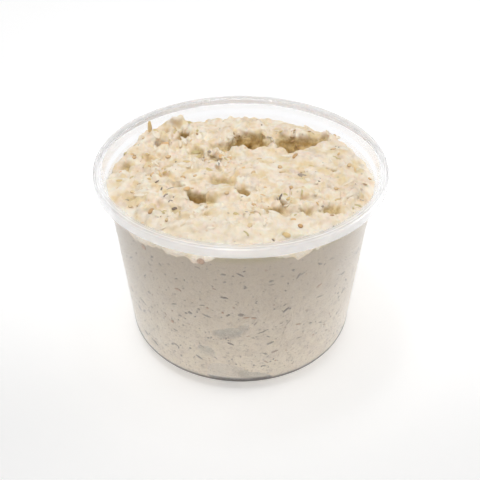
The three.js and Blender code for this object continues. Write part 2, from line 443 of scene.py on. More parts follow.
CLUMPS = marks(
    (-28.2, 37.8, 6.4, 5.6, 5.8, -12, 0.0, 0.1, 1.5),
    (-36, 30, 7, 5, 1.8, 0, 0.0, 0.0, 1.2),
    (12.8, 24, 4.5, 9, 1.8, 20, 0.0, 0.0, 1.2),
    (10, 15.5, 15, 3.6, 1.6, -8, 0.0, 0.4, 1.3),
    (39, 30, 8, 4.5, 2.8, -30, 0.0, 0.0, 1.3),
    (3, 41, 12, 5, 1.6, 0, 0.0, 0.0, 1.2),
    (8, 0, 17, 16, 1.2, 0, 0.0, 0.0, 1.0),
    (-6, -17.5, 10, 6.5, 2.2, -14, -0.1, -0.5, 1.3),
    (-21, -15.5, 5, 3.4, 1.5, -30, 0.0, -0.3, 1.3),
    (-47, -9, 8, 8, 1.8, 0, 0.0, 0.0, 1.0),
    (47, -8, 8, 8, 1.6, 0, 0.0, 0.0, 1.0),
    (-24, -35, 12, 8, 1.4, 20, 0.0, 0.0, 1.0),
    (22, -43, 12, 7, 1.2, 0, 0.0, 0.0, 1.0),
    (20, -25.0, 9, 3.4, 1.0, 0, 0.0, -0.2, 1.0),
    (8, -37, 10, 3.4, 1.0, -6, 0.0, 0.4, 1.3),
    (-29, -2, 5, 4, 1.4, 20, 0.0, 0.0, 1.3),
    (-33, -20, 5, 4, 1.2, -20, 0.0, 0.0, 1.3),
    (30, 10, 9, 5, 1.0, -20, 0.0, 0.0, 1.0),
)
CALM = marks(
    (12, 4, 15, 17, 1.0, 0, 0.0, 0.0, 1.6),
    (31, 12, 13, 11, 0.8, -20, 0.0, 0.0, 1.5),
    (-5, -17, 12, 7, 0.9, -14, 0.0, 0.0, 1.6),
    (-45, -8, 8, 12, 0.6, 0, 0.0, 0.0, 1.3),
)
TORN = marks(
    (3, 25.5, 12, 11, 1.0, 0, 0.0, 0.0, 2.0),
    (20, 24, 8, 9, 1.0, 0, 0.0, 0.0, 1.6),
    (-30, 28, 20, 16, 0.9, 30, 0.0, 0.0, 1.6),
    (-36, -2, 14, 20, 0.7, 0, 0.0, 0.0, 1.3),
    (-24, -28, 20, 12, 0.7, -30, 0.0, 0.0, 1.3),
    (14, -27, 28, 10, 0.6, 0, 0.0, 0.0, 1.4),
    (41, -12, 12, 22, 0.5, 0, 0.0, 0.0, 1.3),
    (-14, 13, 14, 11, 0.8, -30, 0.0, 0.0, 1.4),
)
print(len(SCOOPS), "scoops and holes,", len(CLUMPS), "clumps,", len(TORN) + len(CALM), "patches")

# %% [markdown]
# ## Where the dip meets the wall
# Seen through the plastic, the edge of the dip isn't level. It is low at the back, it was smeared up
# over the ledge on the left, and at the front left it hangs below the skirt as a ragged fringe. So
# the level of the edge is a curve round the tub: a slow change from back to front, a few broad
# humps and dips by direction, and a jagged ripple.

# %% The edge of the dip
CONTACT_FRONT = 72.2
EDGE_RUNS = (
    # direction in degrees, half width in degrees, height in millimetres
    (-172, 16, 3.4), (142, 9, 4.2), (128, 13, 4.6), (152, 10, 0.8), (103, 10, -0.6), (64, 10, -1.4),
    (41, 8, 1.8), (-8, 16, 2.2), (-40, 14, 1.4), (-66, 14, -1.4), (-66.5, 5, -1.7), (-88, 16, 1.2),
    (-106, 8.5, -2.5), (-117, 20, -2.2), (-137, 14, -4.6),
)


def sampled(function, places, size):
    """A function of Blender's noise library at each place, in patches about size wide."""
    return np.array([function(Vector(place) / size) for place in places])


def ring_noise(direction, size_deg, seed):
    """Noise round the tub without a seam."""
    spread = 360 / size_deg / math.tau
    round_x = np.cos(direction) * spread
    round_y = np.sin(direction) * spread
    places = np.stack([round_x, round_y, np.full_like(direction, seed)], 1)
    return sampled(noise.noise, places, 1.0)


def even_level(x, y):
    """The slow change of the dip's level from back to front."""
    forward = 0.5 - 0.5 * y / np.maximum(12, np.hypot(x, y))
    return CONTACT + (CONTACT_FRONT - CONTACT) * forward


def edge_runs(direction):
    """How far the dip's edge at the wall stands above or below that level, by direction."""
    height = 1.1 * ring_noise(direction, 5, 3.1) + 1.5 * ring_noise(direction, 1.9, 8.4)
    for middle, half, rise in EDGE_RUNS:
        away = np.degrees(np.angle(np.exp(1j * (direction - math.radians(middle)))))
        height = height + rise * soft(1 - np.abs(away) / half)
    return height


# %% [markdown]
# ## The surface of the dip
# The large form is the same as in the CAD solid: a mound with a rounded shoulder at the wall, less
# the scoops, plus the clumps. On it come lumps of three sizes: curds, made from the distance to
# scattered points, beside stirred folds, made from creased noise. Torn patches get stronger lumps,
# and steep sides weaker ones. Each pass pushes vertices out along the surface's normals, which on a
# slope is sideways as well as up, so that lumps overhang a little, as curds do.

# %% Heights of the surface
MOUND = 4.6
SHOULDER = 4.0
RUN_WIDTH = 4.0
LUMP_PASSES = ((6.0, 3.0), (3.2, 2.0), (1.8, 0.8))


def slow_ripple(x, y):
    wide = np.sin(x / 7.3 + y / 11.9 + 0.6) * np.cos(y / 6.1 - x / 15.1)
    narrow = np.sin(x / 3.9 - y / 5.3) * np.sin(y / 4.3 + x / 8.7 + 1.1)
    return 0.45 * wide + 0.25 * narrow


def curds(places, size):
    """Rounded lumps about size wide: high near scattered points, low between them."""
    def near(place):
        return noise.voronoi(place)[0][0]
    return 0.45 - sampled(near, places, size)


def folds(places, size):
    """Rounded swells with narrow creases between them, as in something stirred."""
    return np.abs(sampled(noise.noise, places, size)) * 1.8 - 0.4


def wandering(x, y, size, reach):
    """Shifts places by cloudy noise, so that tables of plain ovals get ragged outlines."""
    flat = np.stack([x, y, np.zeros_like(x)], 1)
    shift_x = reach * sampled(noise.noise, flat + 40.0, size)
    shift_y = reach * sampled(noise.noise, flat + 90.0, size)
    return x + shift_x, y + shift_y


def large_form(x, y, from_wall):
    """Height above the contact line, and the parts of it dug out and heaped up, in millimetres."""
    near_x, near_y = wandering(x, y, 3.2, 0.6)
    far_x, far_y = wandering(near_x, near_y, 7.0, 1.3)
    dug = sum(pressed(far_x, far_y, mark) for mark in SCOOPS)
    raised = sum(pressed(far_x, far_y, mark) for mark in CLUMPS)
    rise = 1 - np.exp(-((from_wall / SHOULDER) ** 1.1))
    return rise * (MOUND + slow_ripple(x, y) - dug + raised), rise * dug, rise * raised


def lumps(places, torn, calm, size):
    """The height of lumps about size wide, stronger where torn and weaker where calm."""
    shifts = (11.0, 37.0, 71.0)
    warp = np.stack([sampled(noise.noise, places + shift, 2 * size) for shift in shifts], 1)
    bent = places + 0.8 * size * warp
    patchy = np.clip(0.5 + 1.6 * sampled(noise.noise, places + 53.0, 4.5 * size), 0, 1)
    mixed = patchy * curds(bent, size) + (1 - patchy) * folds(bent, 1.6 * size)
    strength = (0.6 + 0.8 * torn + 0.35 * patchy) * (1 - 0.6 * calm)
    return mixed * strength


# %% [markdown]
# ## Air behind the wall
# Dip doesn't flow, so where it was pressed against the plastic it left flat pockets of air: a
# crescent in the middle of the front, a small three-cornered one below it, and in the bottom corner a
# wide, shallow one that grows deeper at its right end. The dip's face simply stays back there, by one
# or two millimetres.

# %% Pockets
POCKETS = (
    # direction in degrees, height, half width, half height, depth, sag of the upper edge, tilt
    (-94.5, 34.6, 7.6, 2.9, 1.5, 0.6, 0.26),
    (-106.3, 21.2, 3.9, 2.3, 1.3, -0.2, -0.4),
    (-96.0, 7.5, 9.5, 7.6, 0.7, 0.0, -0.15),
    (-83.0, 6.6, 7.5, 3.6, 1.8, 0.0, -0.3),
)


def pocket_depth(direction, z):
    """How far the dip's side stays behind the wall, in millimetres."""
    depth = np.zeros_like(z)
    ragged = 0.8 * ring_noise(direction, 5, 1.7) + 0.5 * ring_noise(direction, 2, 4.2)
    for middle, height, half_wide, half_high, deep, sag, tilt in POCKETS:
        along = np.angle(np.exp(1j * (direction - math.radians(middle)))) * wall_radius(z, 0)
        away = along / half_wide
        up = (z - height - tilt * along - ragged) / half_high + sag * (1 - away**2)
        inside = np.clip(1 - np.hypot(away, up) ** 2, 0, 1)
        depth = np.maximum(depth, deep * np.clip(inside * 4, 0, 1) * (0.6 + 0.4 * inside))
    return depth


# %% Shaping the dip
def hollowness(places, passes):
    """How far each place lies below the mean height around it, in millimetres."""
    cell = 0.5
    across = int(2 * (RIM_RADIUS + 2) / cell)
    column, row = ((places[:, :2] + RIM_RADIUS + 2) / cell).astype(int).T
    total = np.zeros((across, across))
    number = np.zeros((across, across))
    np.add.at(total, (row, column), places[:, 2])
    np.add.at(number, (row, column), 1)
    for _ in range(passes):
        for axis in (0, 1):
            total = (np.roll(total, 1, axis) + total + np.roll(total, -1, axis)) / 3
            number = (np.roll(number, 1, axis) + number + np.roll(number, -1, axis)) / 3
    return (total / np.maximum(number, 0.001))[row, column] - places[:, 2]


def read_vectors(mesh, name):
    values = np.zeros(len(mesh.vertices) * 3, np.float32)
    mesh.vertices.foreach_get(name, values)
    return values.reshape(-1, 3).astype(float)


def move_vertices(mesh, places):
    mesh.vertices.foreach_set("co", (places * MM).astype(np.float32).ravel())
    mesh.update()


def shaped(blank):
    """Moves the blank's vertices to the dip's form and notes what the finish wants to know."""
    mesh = bpy.data.meshes.new("dip_body")
    blank.to_mesh(mesh)
    blank.free()
    x, y, z = (read_vectors(mesh, "co") / MM).T
    radius = np.hypot(x, y)
    direction = np.arctan2(y, x)
    runs = edge_runs(direction)
    level = even_level(x, y) + runs
    on_top = z > CONTACT - 0.01
    on_wall = ~on_top & (z > CORNER_RADIUS)
    stretch = (level - CORNER_RADIUS) / (CONTACT - CORNER_RADIUS)
    z = np.where(on_wall, CORNER_RADIUS + (z - CORNER_RADIUS) * stretch, z)
    edge = wall_radius(level, REACH)
    radius = np.where(on_wall, wall_radius(z, REACH), radius)
    radius = np.where(on_top, radius / wall_radius(CONTACT, REACH) * edge, radius)
    air = np.where(on_top, 0, pocket_depth(direction, z))
    x = (radius - air) * np.cos(direction)
    y = (radius - air) * np.sin(direction)
    from_wall = np.maximum(0, edge - radius)
    height, dug, raised = large_form(x, y, from_wall)
    z = np.where(on_top, even_level(x, y) + runs * np.exp(-from_wall / RUN_WIDTH) + height, z)
    places = np.stack([x, y, z], 1)
    ragged = wandering(x, y, 4.0, 2.0)
    torn = share_of(TORN, *ragged)
    calm = share_of(CALM, *ragged)
    free = np.where(on_top, 1 - np.exp(-((from_wall / 2.5) ** 1.2)), 0)
    for size, height in LUMP_PASSES:
        move_vertices(mesh, places)
        normals = read_vectors(mesh, "normal")
        on_slope = np.clip(1.6 * normals[:, 2], 0.45, 1)
        push = height * free * on_slope * lumps(places, torn, calm, size)
        places = places + normals * push[:, None]
    move_vertices(mesh, places)
    narrow = np.where(on_top, hollowness(places, 8), 0)
    broad = np.where(on_top, hollowness(places, 60), 0)
    notes = {
        "dug": np.where(on_top, dug, 0), "raised": np.where(on_top, raised, 0),
        "side": ~on_top, "air": air, "narrow": narrow, "broad": broad,
    }
    for name, values in notes.items():
        layer = mesh.attributes.new(name, "FLOAT", "POINT")
        layer.data.foreach_set("value", values.astype(np.float32))
    print("dip top from", round(places[on_top, 2].min(), 1), "to", round(places[:, 2].max(), 1), "mm")
    print("creases and hollows:", round(narrow.max(), 1), "and", round(broad.max(), 1), "mm deep")
    return mesh


# %% [markdown]
# ## The finish of the dip
# The dip is a moist, pale cream paste. Light goes a little way into it, so it gets some subsurface
# scattering. Its colour drifts between cream, pale straw and a greyer beige in soft patches of a few
# millimetres. Gold is painted into the creases, as painted shade for the light that bounces there
# several times, and the deep scoops are painted olive, gold and brown: partly the torn flesh's own
# colour, partly painted shade in the hollows. The heaped clumps are painted paler, as painted light on
# their tops. Ground sesame and shreds of aubergine show as small tan and grey spots. Pressed flat
# against the plastic it is a duller cream, with painted shade that darkens it towards the rim, and
# fine specks, and it is painted greyer where air lies in front of it, as painted shade for the dip
# set back behind the air.

# %% Dip finish
CREAM = linear(244, 228, 206)
PALE = linear(249, 239, 222)
PINK = linear(238, 212, 192)
STRAW = linear(230, 206, 152)
GREY = linear(208, 194, 178)
OLIVE_SHADE = linear(212, 189, 138)
GOLD_SHADE = linear(208, 176, 112)
UMBER_SHADE = linear(132, 94, 48)
TAN = linear(212, 172, 122)
SHADE = linear(160, 144, 126)
WALL_LIGHT = linear(240, 227, 206)
WALL_GREY = linear(228, 214, 194)
WALL_DARK = linear(192, 177, 160)
WALL_TOP_SHADE = linear(196, 181, 161)
WALL_AIR_SHADE = linear(202, 192, 172)
WALL_OLIVE = linear(188, 176, 134)
WALL_SPOT = linear(134, 120, 108)


def attribute(finish, name):
    return finish.node("ShaderNodeAttribute", {"attribute_name": name}, output="Fac")


def top_colour(finish, place, other_place):
    """The colour of the open surface: soft patches first, then painted shade and light from the relief,
    then spots.
    """
    narrow = attribute(finish, "narrow")
    broad = attribute(finish, "broad")
    dug = attribute(finish, "dug")
    colour = finish.blend(finish.step(finish.grain(place, 6.0, 2.0), 0.42, 0.62), CREAM, PALE)
    pink = finish.step(finish.grain(place, 4.4, 1.0, 0.5, "Color"), 0.48, 0.68)
    colour = finish.blend(pink * 0.6, colour, PINK)
    straw = finish.step(finish.grain(other_place, 5.2, 2.0, 0.5), 0.42, 0.7)
    colour = finish.blend(straw * 0.7, colour, STRAW)
    wet = finish.step(finish.grain(other_place, 4.4, 2.0, 0.55, "Color"), 0.52, 0.68)
    colour = finish.blend(wet * 0.55, colour, GREY)
    # Painted shade: creases are tinted gold, standing in for light bouncing in them.
    creased = finish.step(narrow + broad * 0.35, 0.05, 0.45)
    colour = finish.blend(creased * 0.8, colour, GOLD_SHADE)
    # Painted light: the heaped clumps are made paler, standing in for light on their tops.
    raised = finish.step(attribute(finish, "raised"), 2.4, 4.6)
    colour = finish.blend(raised * 0.6, colour, PALE)
    across = finish.node("ShaderNodeSeparateXYZ", None, {0: place}, "Y")
    colour = finish.blend(finish.step(across * -1, 12 * MM, 42 * MM) * 0.4, colour, PALE)
    # Painted shade in the scoops: olive, gold and umber by depth; the torn dapple is partly the flesh's
    # own colour.
    colour = finish.blend(finish.step(dug, 0.5, 2.2) * 0.85, colour, OLIVE_SHADE)
    colour = finish.blend(finish.step(dug, 2.4, 4.0) * 0.8, colour, GOLD_SHADE)
    colour = finish.blend(finish.step(dug + narrow * 2, 2.4, 5.4) * 0.5, colour, UMBER_SHADE)
    torn = finish.step(finish.grain(place, 1.1, 3.0, 0.6), 0.44, 0.6)
    colour = finish.blend(finish.step(dug, 0.8, 2.6) * torn * 0.3, colour, UMBER_SHADE)
    kind = finish.cells(place, 2.4, "Color")
    pick = finish.node("ShaderNodeSeparateColor", None, {0: kind}, "Red")
    size = finish.node("ShaderNodeSeparateColor", None, {0: kind}, "Green")
    spot = (1 - finish.step(finish.cells(place, 2.4), 0.08, 0.3)) * (0.25 + size * 0.35)
    colour = finish.blend(spot * (pick > 0.72), colour, TAN)
    return finish.blend(spot * ((1 - pick) > 0.9), colour, SHADE)


def side_colour(finish, place, other_place):
    """The colour of the side, which is pressed flat against the plastic."""
    height = finish.node("ShaderNodeSeparateXYZ", None, {0: place}, "Z")
    cloud = finish.step(finish.grain(place, 7.0, 3.0, 0.6), 0.4, 0.65)
    colour = finish.blend(cloud, WALL_LIGHT, WALL_GREY)
    colour = finish.blend(finish.step(finish.grain(place, 2.2, 2.0), 0.5, 0.68) * 0.7, colour, WALL_LIGHT)
    # Painted shade: the pressed side darkens towards the rim, standing in for the skirt's shadow.
    colour = finish.blend(finish.step(height, 10 * MM, 74 * MM) * 0.8, colour, WALL_TOP_SHADE)
    colour = finish.blend(finish.step(height, 68.5 * MM, 71 * MM) * 0.5, colour, WALL_OLIVE)
    fine = finish.step(finish.grain(other_place, 1.2, 3.0, 0.6), 0.52, 0.7)
    colour = finish.blend(fine * 0.7, colour, WALL_DARK)
    kind = finish.cells(other_place, 1.5, "Color")
    pick = finish.node("ShaderNodeSeparateColor", None, {0: kind}, "Red")
    speck = (1 - finish.step(finish.cells(other_place, 1.5), 0.12, 0.26)) * (pick > 0.78)
    colour = finish.blend(speck * 0.7, colour, WALL_SPOT)
    mist = 0.55 + finish.step(finish.grain(place, 4.0), 0.4, 0.6) * 0.35
    # Painted shade: where air lies in front, the set-back dip is coloured greyer and darker.
    return finish.blend(finish.step(attribute(finish, "air"), 0.2, 1.5) * mist, colour, WALL_AIR_SHADE)


def dip_finish():
    finish = Finish("baba_ganoush")
    place = finish.node("ShaderNodeTexCoord", output="Object")
    shift = {0: place, 1: (0.3, 0.7, 0.1)}
    other_place = finish.node("ShaderNodeVectorMath", {"operation": "ADD"}, shift)
    top = top_colour(finish, place, other_place)
    side = finish.step(attribute(finish, "side"), 0.3, 0.9)
    colour = finish.blend(side, top, side_colour(finish, place, other_place))
    fine = finish.grain(place, 0.8, 2.0, 0.5)
    soft = finish.grain(place, 2.0, 2.0, 0.5)
    paste = finish.node(
        "ShaderNodeBsdfPrincipled", {"subsurface_method": "RANDOM_WALK"},
        {
            "Base Color": colour, "Roughness": 0.4 + soft * 0.2, "Specular IOR Level": 0.4,
            "Normal": finish.bump(fine * 0.2 + soft * 0.8, 0.7, 0.5), "Subsurface Weight": 0.5,
            "Subsurface Scale": 1.5 * MM, "Subsurface Radius": (1.0, 0.8, 0.55),
        },
    )
    return finish.shows(paste)


# %% The dip
dip_mesh = shaped(blank)
shape = bmesh.new()
shape.from_mesh(dip_mesh)
bmesh.ops.recalc_face_normals(shape, faces=shape.faces)
dip_surface = BVHTree.FromBMesh(shape)
dip = finished("dip_body", shape, dip_finish())
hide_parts("dip")

# %% [markdown]
# ## Seeds, flecks and scraps
# The aubergine's flat seeds, its charred skin, shreds of its flesh and of onion lie in the dip at all
# depths. Those at the surface are small pieces of their own, half sunk in. Every kind is one mesh of
# many small lens shapes: a ball of few faces, pressed flat, stretched, bent and roughened. A ray
# dropped on the dip finds where each rests and which way it faces. The clearest ones are listed one by
# one where the real dip shows them, and the rest are strewn from a fixed seed. Each row holds X, Y,
# length, width, thickness, turn in degrees, bend and tint.

# %% Laying bits on the dip
STREWN_RADIUS = 52.5


def resting(x, y):
    """The point and the outward direction of the dip's top at a place in millimetres."""
    point, outward, _, _ = dip_surface.ray_cast(Vector((x, y, 120)) * MM, Vector((0, 0, -1)))
    return point, (outward + Vector((0, 0, 0.8))).normalized()


def standing(x, y):
    """The same point, for a bit that stands upright whichever way the dip faces there."""
    return resting(x, y)[0], Vector((0, 0, 1))


def against_wall(degrees, z):
    """The same for the dip's side, by direction and height."""
    away = Vector((math.cos(math.radians(degrees)), math.sin(math.radians(degrees)), 0))
    point, outward, _, _ = dip_surface.ray_cast(away * 90 * MM + Vector((0, 0, z * MM)), -away)
    return point, outward


def lay_bit(shape, place, size, turn, bend, tint, lift):
    """Adds one lens-shaped bit, size long, wide and thick, turned about the way it faces."""
    point, outward = place
    facing = outward.to_track_quat("Z", "Y").to_matrix().to_4x4()
    spin = Matrix.Rotation(math.radians(turn), 4, "Z")
    spot = Matrix.Translation(point + outward * lift * size[2] * MM)
    matrix = spot @ facing @ spin
    made = bmesh.ops.create_icosphere(shape, subdivisions=2, radius=1.0)["verts"]
    tints = shape.verts.layers.float["tint"]
    middles = shape.verts.layers.float["middle"]
    for vert in made:
        vert[tints] = tint
        vert[middles] = 1 - math.hypot(vert.co.x, vert.co.y)
        rough = 1 + 0.22 * noise.noise(vert.co * 1.7 + point * 900)
        x = vert.co.x * rough
        y = vert.co.y * rough + bend * (x**2 - 0.4) * size[0] / size[1]
        vert.co = matrix @ (Vector((x * size[0], y * size[1], vert.co.z * size[2])) * 0.5 * MM)


def bits(name, groups, material):
    """One piece from groups of rows, each with the way its bits are laid and how far they stand out."""
    shape = bmesh.new()
    shape.verts.layers.float.new("tint")
    shape.verts.layers.float.new("middle")
    for rows, place_of, lift in groups:
        for first, second, length, width, thickness, turn, bend, tint in rows:
            size = (length, width, thickness)
            lay_bit(shape, place_of(first, second), size, turn, bend, tint, lift)
    return finished(name, shape, material)


def bit_finish(name, colours, rim_colour, rim_share, roughness):
    """A finish whose colour runs through three tints, with a darker rim."""
    finish = Finish(name)
    place = finish.node("ShaderNodeTexCoord", output="Object")
    tint = attribute(finish, "tint")
    colour = finish.blend(finish.step(tint, 0.1, 0.5), colours[0], colours[1])
    colour = finish.blend(finish.step(tint, 0.5, 0.9), colour, colours[2])
    cloud = finish.grain(place, 0.7, 2.0)
    rim = 1 - finish.step(attribute(finish, "middle") + cloud * 0.3, 0.1, 0.5)
    colour = finish.blend(rim * rim_share, colour, rim_colour)
    coat = finish.node(
        "ShaderNodeBsdfPrincipled", None,
        {
            "Base Color": colour, "Roughness": roughness, "Specular IOR Level": 0.4,
            "Normal": finish.bump(cloud, 0.1, 0.6),
        },
    )
    return finish.shows(coat)


def strewn(chance, count, patches, length, slim, thickness, bend):
    """Rows of bits at random, denser in some patches: length and slim are lowest and highest."""
    rows = []
    while len(rows) < count:
        away = STREWN_RADIUS * math.sqrt(chance.random())
        direction = chance.uniform(0, math.tau)
        x = away * math.cos(direction)
        y = away * math.sin(direction)
        here = (np.array([x]), np.array([y]))
        in_a_hole = share_of(SCOOPS, *here)[0] > 1.5
        if in_a_hole or chance.random() > 0.35 + 0.65 * share_of(patches, *here)[0]:
            continue
        long = chance.uniform(*length)
        wide = long * chance.uniform(*slim)
        turn = chance.uniform(0, 180)
        bent = chance.uniform(-bend, bend)
        rows.append((x, y, long, wide, thickness, turn, bent, chance.random()))
    return rows


# %% Seeds
SEEDS = (
    (-34.0, -10.4, 2.6, 1.7, 0.9, 40, 0.0, 0.9), (-33.4, -29.8, 3.4, 2.8, 1.2, 10, 0.0, 0.8),
    (-38.5, -23.8, 2.6, 2.0, 1.0, -30, 0.0, 0.3), (-27.1, -35.0, 2.4, 1.8, 1.0, 20, 0.0, 0.3),
    (-35.5, -1.5, 2.6, 1.7, 0.9, 70, 0.0, 0.5), (-30.1, 11.9, 2.6, 1.8, 0.9, 10, 0.0, 0.4),
    (-22.9, -5.3, 3.0, 2.0, 1.0, -30, 0.0, 0.7), (-4.3, 13.2, 3.2, 2.3, 1.2, 5, 0.0, 0.5),
    (-14.6, 10.2, 2.4, 1.8, 1.0, 20, 0.0, 0.4), (22.4, 11.1, 4.2, 2.2, 1.0, -5, 0.0, 0.8),
    (4.9, -3.8, 3.2, 1.8, 0.9, 0, 0.0, 0.4), (15.8, 1.6, 2.6, 2.0, 1.0, 10, 0.0, 0.5),
    (16.5, -2.3, 2.8, 1.7, 0.9, 0, 0.0, 0.3), (38.6, 16.8, 2.8, 2.0, 1.0, 20, 0.0, 0.5),
    (43.7, 2.3, 3.0, 1.7, 0.9, -5, 0.0, 0.4), (3.4, -38.2, 2.8, 2.0, 1.0, 60, 0.0, 0.1),
    (4.1, -33.8, 2.8, 1.8, 1.0, 30, 0.0, 0.1), (21.5, -40.1, 2.4, 2.0, 1.0, -20, 0.0, 0.9),
    (19.5, -14.0, 2.4, 1.8, 1.0, -10, 0.0, 0.7), (7.5, 8.4, 2.4, 1.7, 0.9, -10, 0.0, 0.4),
    (-45.5, 15.0, 2.6, 1.9, 1.0, 40, 0.0, 0.5), (24.7, -1.0, 2.2, 1.6, 0.9, 80, 0.0, 0.2),
)
seed_chance = random.Random(21)
seed_rows = list(SEEDS) + strewn(seed_chance, 24, TORN, (1.5, 2.3), (0.65, 0.85), 0.8, 0.0)
SEED_TINTS = (linear(234, 212, 172), linear(224, 190, 144), linear(204, 162, 112))
seed_coat = bit_finish("seed_coat", SEED_TINTS, linear(166, 124, 84), 0.5, 0.45)
bits("seeds", [(seed_rows, resting, 0.0)], seed_coat)

# %% Soft shreds of flesh
FLESH = (
    (-32.3, 25.3, 4.6, 3.4, 2.2, 10, 0.0, 0.9), (-25.2, 27.0, 5.0, 2.6, 1.8, -20, 0.1, 0.5),
    (-36.4, 31.0, 3.4, 2.4, 1.8, 30, 0.0, 0.3), (-18.8, 18.2, 4.4, 2.6, 1.4, -10, 0.1, 0.1),
    (-1.8, -31.8, 4.0, 2.0, 1.6, 15, 0.1, 0.3), (-35.9, -6.8, 3.6, 2.0, 1.4, 60, 0.1, 0.6),
    (-12.6, 0.5, 5.0, 2.0, 1.2, -50, 0.1, 0.3), (26.0, -22.0, 5.0, 1.0, 1.0, 25, 0.25, 0.1),
    (23.2, -19.0, 3.4, 0.9, 0.9, -40, -0.2, 0.1), (16.2, -44.6, 3.6, 2.4, 1.6, 0, 0.0, 0.6),
    (-20.6, -16.0, 3.6, 2.0, 1.4, -30, 0.1, 0.9), (38.9, 11.1, 3.4, 2.0, 1.2, 10, 0.1, 0.2),
    (-28.5, 33.0, 3.0, 2.0, 1.4, 40, 0.1, 0.2), (-46.0, 3.0, 3.4, 2.4, 1.2, 0, 0.0, 0.4),
    (1.9, -45.0, 3.4, 1.0, 0.9, 70, 0.2, 0.1),
)
flesh_chance = random.Random(8)
UPRIGHT = ((-39.4, 33.4, 2.0, 1.8, 7.6, 0, 0.0, 0.45),)
flesh_rows = list(FLESH) + strewn(flesh_chance, 64, TORN, (1.6, 4.0), (0.25, 0.6), 0.8, 0.2)
FLESH_TINTS = (linear(204, 188, 136), linear(226, 198, 142), linear(232, 192, 138))
flesh = bit_finish("soft_flesh", FLESH_TINTS, linear(236, 216, 180), 0.5, 0.35)
bits("flesh_shreds", [(flesh_rows, resting, -0.25), (UPRIGHT, standing, 0.2)], flesh)

# %% Pale shreds
pale_chance = random.Random(64)
pale_rows = strewn(pale_chance, 100, TORN, (2.2, 6.0), (0.2, 0.45), 0.9, 0.3)
PALE_TINTS = (linear(244, 232, 210), linear(248, 238, 220), linear(240, 222, 194))
pale = bit_finish("pale_shreds", PALE_TINTS, linear(240, 224, 198), 0.4, 0.4)
bits("pale_shreds", [(pale_rows, resting, -0.35)], pale)

# %% Charred flecks and scraps of skin
SKIN = (
    (-26.8, -23.1, 3.0, 1.4, 0.7, 70, 0.2, 0.5), (-28.6, -21.5, 2.6, 1.2, 0.7, -10, 0.2, 0.6),
    (-25.6, -20.0, 2.4, 1.0, 0.6, 30, -0.2, 0.3), (-25.0, -25.8, 2.4, 1.6, 0.7, 0, 0.0, 0.1),
    (-27.2, -14.8, 3.8, 0.5, 0.5, 18, 0.2, 0.2), (-18.9, 29.6, 2.2, 1.2, 0.7, 0, 0.0, 0.9),
    (-13.2, 15.1, 2.0, 1.4, 0.6, 40, 0.0, 0.5), (-8.9, 8.6, 2.2, 1.6, 0.6, 0, 0.0, 0.5),
    (-8.9, 4.4, 2.2, 0.6, 0.6, 80, 0.1, 0.3), (24.3, -3.5, 4.4, 2.2, 0.7, 20, 0.2, 0.55),
    (15.0, -21.5, 3.0, 1.0, 0.7, -50, 0.1, 0.1), (16.9, -24.0, 3.2, 1.3, 0.7, -20, 0.1, 0.3),
    (19.4, -14.8, 1.6, 0.9, 0.6, 10, 0.0, 0.4), (11.5, -46.5, 1.6, 0.8, 0.7, 80, 0.0, 0.0),
    (29.6, -39.6, 3.4, 0.7, 0.7, 35, 0.15, 0.8), (35.2, -15.0, 6.0, 0.8, 0.7, -30, 0.1, 1.0),
    (40.5, -18.6, 4.0, 1.4, 0.8, -35, 0.0, 0.9), (44.5, -12.5, 4.0, 0.5, 0.5, -60, 0.1, 0.6),
    (46.3, -18.0, 2.6, 0.5, 0.5, 75, 0.0, 0.5), (35.2, 2.6, 2.6, 0.9, 0.7, -50, 0.1, 0.7),
    (-32.9, -9.6, 2.2, 0.7, 0.7, 60, 0.0, 0.3), (-18.4, -17.4, 3.6, 2.0, 0.9, 15, 0.0, 1.0),
    (-44.0, -18.4, 3.0, 1.4, 0.7, 80, 0.0, 0.6), (30.4, -27.5, 2.4, 1.0, 0.7, -60, 0.1, 0.6),
    (25.0, 22.0, 2.0, 1.0, 0.6, 30, 0.0, 0.8), (20.0, 27.5, 2.6, 0.9, 0.7, 70, 0.0, 0.9),
    (0.5, 27.0, 3.4, 1.0, 0.8, 80, 0.1, 0.9), (4.2, 26.0, 3.4, 0.9, 0.8, 100, 0.1, 0.95),
    (-3.0, 26.0, 3.0, 1.0, 0.8, 70, 0.1, 0.9), (7.4, 24.0, 2.6, 1.0, 0.8, 60, 0.1, 0.85),
)
FIBROUS_HOLLOWS = ((4, 28), (23, 27.5))
skin_chance = random.Random(35)
skin_rows = list(SKIN) + strewn(skin_chance, 22, TORN, (0.8, 2.2), (0.25, 0.6), 0.4, 0.2)
skin_rows += strewn(skin_chance, 64, TORN, (0.35, 0.75), (0.4, 0.9), 0.3, 0.0)
for middle_x, middle_y in FIBROUS_HOLLOWS:
    for _ in range(14):
        x = middle_x + skin_chance.uniform(-7, 7)
        y = middle_y + skin_chance.uniform(-3, 6)
        long = skin_chance.uniform(1.2, 3.2)
        skin_rows.append((x, y, long, 0.8, 0.5, skin_chance.uniform(-30, 150), 0.2, 1))
SKIN_TINTS = (linear(126, 112, 98), linear(172, 158, 144), linear(186, 150, 106))
skin = bit_finish("charred_skin", SKIN_TINTS, linear(140, 120, 100), 0.5, 0.5)
bits("skin_flecks", [(skin_rows, resting, -0.2)], skin)

